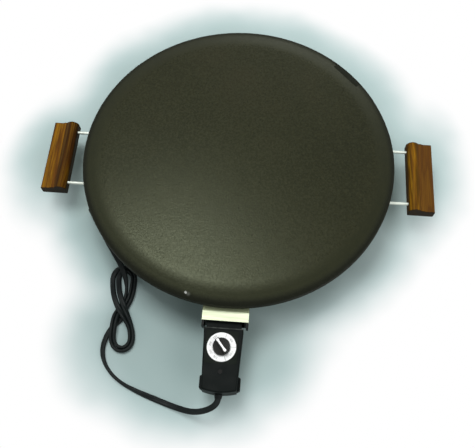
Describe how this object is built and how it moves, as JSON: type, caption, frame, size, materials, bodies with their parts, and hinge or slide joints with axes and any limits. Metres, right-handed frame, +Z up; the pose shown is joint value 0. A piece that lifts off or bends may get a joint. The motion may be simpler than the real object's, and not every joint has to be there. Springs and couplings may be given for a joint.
{
  "type": "electric crepe maker",
  "caption": "Round nonstick electric griddle plate for crepes on a metal base pan with feet, wooden side handles on rods, and a plug-in probe thermostat with a turning knob and flat cord.",
  "frame": {"origin": "on the table under the centre of the object's box, measured without the cord and its plug; the plate's centre is 50.9 mm towards +Y", "axes": "+Z up, +X towards the right-hand handle, -Y towards the control"},
  "size_m": [0.5208, 0.5256, 0.084],
  "materials": {
    "nonstick_plate": "satin dark nonstick coating with a fine fleck",
    "element_steel": "matt oxidised sheath",
    "bare_steel": "satin",
    "bare_aluminium": "satin",
    "bright_guard": "bright",
    "black_phenolic": "satin",
    "ceramic_white": "matt",
    "dial_white": "semi-gloss",
    "walnut": "oiled",
    "brass": "satin",
    "pilot_amber": "gloss",
    "cord_rubber": "matt"
  },
  "bodies": {
    "griddle": {"griddle_plate": "nonstick_plate", "heating_element": "element_steel", "terminal_pins": "bare_steel", "element_clips": "bare_steel", "clip_screws": "bare_steel", "probe_well": "bare_aluminium", "well_screws": "bare_steel", "base_pan": "bare_aluminium", "foot_front_left": "black_phenolic", "foot_front_right": "black_phenolic", "foot_rear_left": "black_phenolic", "foot_rear_right": "black_phenolic", "foot_screws": "bare_steel", "handle_rod_front": "bare_steel", "handle_rod_rear": "bare_steel", "rod_nuts": "bare_steel", "left_handle_grip": "walnut", "right_handle_grip": "walnut", "guard_cover": "bright_guard", "terminal_shroud": "black_phenolic", "guard_screws": "bare_steel", "shroud_screws": "bare_steel", "terminal_insulator": "ceramic_white"},
    "control": {"control_upper_shell": "black_phenolic", "control_lower_shell": "black_phenolic", "shell_screws": "bare_steel", "dial_ring": "dial_white", "probe_tube": "bare_steel", "probe_rod": "bare_steel", "pin_sockets": "brass", "thermostat_frame": "bare_steel", "contact_stack": "ceramic_white", "moving_contact_blade": "brass", "fixed_contact_blade": "brass", "lever_pin": "bare_steel", "pilot_lens": "pilot_amber", "pilot_lamp": "pilot_amber", "strain_relief": "cord_rubber", "control_wires": "cord_rubber", "cord_lead": "cord_rubber", "cord_hank": "cord_rubber", "cord_tail": "cord_rubber", "plug_body": "cord_rubber", "plug_blades": "brass"},
    "knob": {"control_knob": "black_phenolic", "knob_pointer": "dial_white", "knob_shaft": "bare_steel", "thermostat_cam": "brass"},
    "lever": {"contact_lever": "brass"}
  },
  "joints": [
    {"name": "control_slide", "type": "slide", "parent": "griddle", "child": "control", "axis": [0, -1, 0], "range_m": [0, 0.13]},
    {"name": "knob_turn", "type": "hinge", "parent": "control", "child": "knob", "pos_m": [-0.0018, -0.197, 0.066], "axis": [0, 0, -1], "range_deg": [0, 290]},
    {"name": "lever_turn", "type": "hinge", "parent": "control", "child": "lever", "pos_m": [0.00395, -0.217, 0.051], "axis": [0, 0, -1], "range_deg": [0, 6]}
  ],
  "couplings": [
    {"joint": "lever_turn", "follows": "knob_turn", "ratio": 0.0197}
  ]
}
